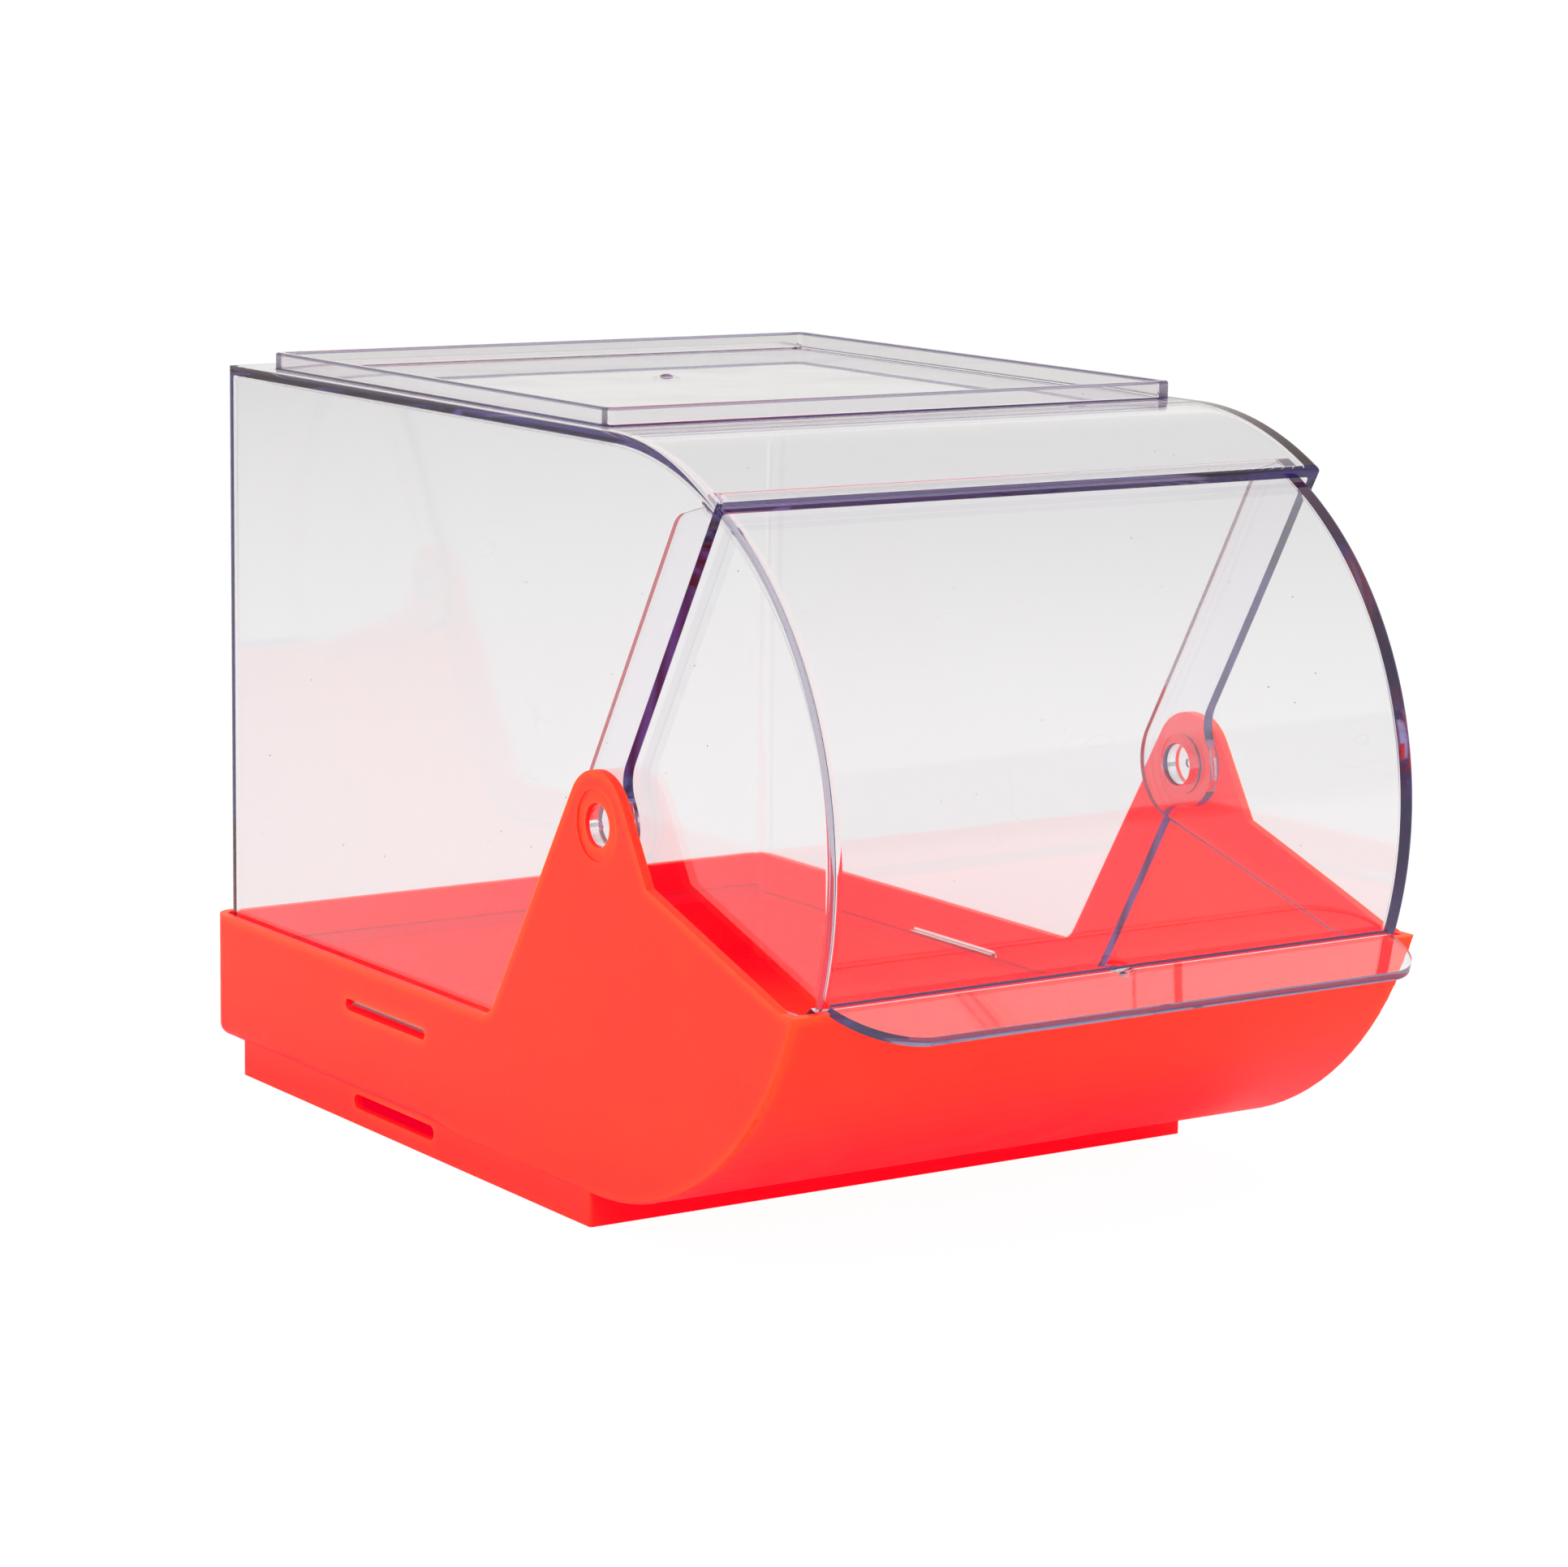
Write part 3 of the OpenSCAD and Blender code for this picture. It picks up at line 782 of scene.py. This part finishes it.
def red_plastic():
    """Translucent red plastic with painted crimson shade, painted orange light along its edges and a
    painted red glow, with fine wear.
    """
    material, shading = make_material("red_plastic")
    place = shading.add("TexCoord").outputs["Object"]
    flat = shading.add("NewGeometry").outputs["Normal"]
    # Painted orange light along the edges, where the bevelled normal turns from the face's own
    rounded = shading.out("Bevel", {"Radius": EDGE_GLOW_R})
    alike = shading.add("VectorMath", {0: flat, 1: rounded}, operation="DOT_PRODUCT")
    edge = shading.step(alike.outputs["Value"], 1.0, 0.86)
    mottle = shading.out("TexNoise", {"Vector": place, "Scale": 45.0, "Detail": 4.0})
    mottle_and_edge_light = shading.math("MAXIMUM", edge, shading.math("MULTIPLY", mottle, 0.25))
    # Painted shade: where ambient occlusion finds little open sky, the red turns crimson
    open_sky = shading.add("AmbientOcclusion", {"Distance": SHADE_REACH}, samples=4).outputs["AO"]
    shaded = shading.step(open_sky, 0.75, 0.3)
    mottle_and_edge_light = shading.math("MULTIPLY", mottle_and_edge_light, shading.math("SUBTRACT", 1, shaded))
    colour = shading.blend(mottle_and_edge_light, shading.blend(shaded, RED_LIT, RED_SHADED), RED_PAINTED_EDGE_LIGHT)
    hair = hairlines(shading, place, (15, 50, 30), (40, 260, 50), 0.003)
    worn = shading.math("MAXIMUM", shading.math("MULTIPLY", hair, RED_HAIRLINE), specks(shading, place))
    grain = shading.out("TexNoise", {"Vector": place, "Scale": 1400.0, "Detail": 2.0})
    bump = {"Height": grain, "Strength": 0.12, "Distance": 0.05 * MM}
    inputs = {
        "Base Color": shading.blend(worn, colour, RED_WORN),
        "Roughness": shading.math("ADD", shading.math("MULTIPLY", mottle, 0.16), 0.3),
        "Normal": shading.out("Bump", bump),
        "IOR": 1.5,
        "Specular IOR Level": 0.2,
        "Subsurface Weight": 1.0,
        "Subsurface Radius": (1.0, 0.25, 0.08),
        "Subsurface Scale": 8 * MM,
        # Painted red glow: emission that stands in for light through the plastic
        "Emission Color": RED_PAINTED_GLOW,
        "Emission Strength": RED_PAINTED_GLOW_LEVEL,
    }
    shading.add("OutputMaterial", {"Surface": shading.out("BsdfPrincipled", inputs)})
    return material


# ------------------------------------------------------------------- stage


def make_camera():
    yaw, pitch, roll = (math.radians(a) for a in (CAMERA_YAW, CAMERA_PITCH, CAMERA_ROLL))
    ahead = Vector((math.sin(yaw) * math.cos(pitch), math.cos(yaw) * math.cos(pitch), -math.sin(pitch)))
    level = Vector((math.cos(yaw), -math.sin(yaw), 0))
    above = level.cross(ahead)
    right = level * math.cos(roll) + above * math.sin(roll)
    up = above * math.cos(roll) - level * math.sin(roll)
    data = bpy.data.cameras.new("camera")
    data.lens = CAMERA_LENS_MM
    data.sensor_width = CAMERA_SENSOR_MM
    camera = bpy.data.objects.new("camera", data)
    turned = Matrix((right, up, -ahead)).transposed().to_4x4()
    camera.matrix_world = Matrix.Translation(CAMERA_PLACE) @ turned
    bpy.context.scene.collection.objects.link(camera)
    bpy.context.scene.camera = camera


def add_plane(name, side, place, material):
    bpy.ops.mesh.primitive_plane_add(size=side, location=place)
    plane = bpy.context.object
    plane.name = name
    plane.data.materials.append(material)


def make_floor():
    """White floor, pure white with only a faint shadow when seen straight on, and a patch of painted
    red glow under the bin.
    """
    material, shading = make_material("floor_white")
    real = shading.out("BsdfDiffuse", {"Color": (FLOOR_ALBEDO,) * 3 + (1,)})
    faint = shading.out("BsdfDiffuse", {"Color": (FLOOR_FAINT,) * 3 + (1,)})
    glow = shading.out("Emission", {"Strength": FLOOR_GLOW})
    seen = shading.out("AddShader", {0: faint, 1: glow})
    straight_on = shading.add("LightPath").outputs["Is Camera Ray"]
    shading.add("OutputMaterial", {"Surface": shading.coat(straight_on, real, seen)})
    add_plane("floor", FLOOR_SIDE, (0, 0, 0), material)
    # Painted red glow: a glowing patch under the bin, seen through the clear plastic
    material, shading = make_material("painted_red_glow_under_bin")
    glow = shading.out("Emission", {"Color": PAINTED_RED_GLOW_UNDER_BIN})
    shading.add("OutputMaterial", {"Surface": glow})
    add_plane("painted_red_glow_under_bin", UNDER_BIN_SIDE, UNDER_BIN_PLACE, material)


def make_world():
    """Pale studio walls with one dim wall in front on the right. Seen straight on they are white."""
    world = bpy.data.worlds.new("studio")
    bpy.context.scene.world = world
    shading = Shading(world)
    towards = shading.add("TexCoord").outputs["Generated"]
    height = shading.add("SeparateXYZ", {"Vector": towards}).outputs["Z"]
    ramp = shading.add("ValToRGB", {"Fac": height})
    stops = ramp.color_ramp.elements
    for position, _ in WALL_LEVELS[1:-1]:
        stops.new(position)
    for stop, (_, level) in zip(stops, WALL_LEVELS):
        stop.color = (level, level, level * WALL_BLUE, 1)
    facing = {0: towards, 1: DIM_WALL_TOWARDS}
    facing = shading.add("VectorMath", facing, operation="DOT_PRODUCT").outputs["Value"]
    under_top = shading.math("SUBTRACT", 1, shading.step(height, *DIM_WALL_TOP))
    dim = shading.math("MULTIPLY", shading.step(facing, *DIM_WALL_SIDES), under_top)
    level = shading.math("SUBTRACT", 1, shading.math("MULTIPLY", dim, DIM_WALL_LOSS))
    room = shading.out("Background", {"Color": ramp.outputs[0], "Strength": level})
    white = shading.out("Background", {"Color": WHITE, "Strength": SEEN_WALL})
    straight_on = shading.add("LightPath").outputs["Is Camera Ray"]
    shading.add("OutputWorld", {"Surface": shading.coat(straight_on, room, white)})


def add_area_light(name, place, target, size, power):
    data = bpy.data.lights.new(name, "AREA")
    data.shape = "RECTANGLE"
    data.size, data.size_y = size
    data.energy = power
    light = bpy.data.objects.new(name, data)
    light.location = place
    light.rotation_euler = (Vector(target) - Vector(place)).to_track_quat("-Z", "Y").to_euler()
    light.visible_glossy = False
    light.visible_transmission = False
    bpy.context.scene.collection.objects.link(light)


def dress_tray(node, material):
    """The tray keeps its CAD shape, with its faces joined up and its edges softened."""
    weld = node.modifiers.new("weld", "WELD")
    weld.merge_threshold = TRAY_WELD * MM
    flat = node.modifiers.new("flat", "DECIMATE")
    flat.decimate_type = "DISSOLVE"
    flat.angle_limit = TRAY_FLAT_ANGLE
    add_bevel(node, TRAY_EDGE_R * MM, steps=4)
    flat_faces(node)
    node.data.materials.clear()
    node.data.materials.append(material)


make_camera()
make_floor()
make_world()
add_area_light("key", (-1.6, -1.2, 2.4), (0, 0, 0.1), (1.6, 1.6), 24.5)
add_area_light("top", (0.3, 0.2, 2.6), (0, 0, 0.1), (2.0, 2.0), 16.5)
add_area_light("front_fill", (0.1, -1.8, 0.7), (0, 0, 0.08), (1.6, 0.8), 5)

clear = clear_plastic()
dress_tray(frame["nodes"]["tray"], red_plastic())
hopper_shell(clear)
door_shell(clear)
for side in (-1, 1):
    hinge_pin(side, clear)

scene = bpy.context.scene
scene.view_settings.view_transform = "Standard"
scene.cycles.max_bounces = BOUNCES
scene.cycles.transmission_bounces = BOUNCES
scene.cycles.glossy_bounces = BOUNCES
scene.cycles.transparent_max_bounces = CLEAR_LAYERS
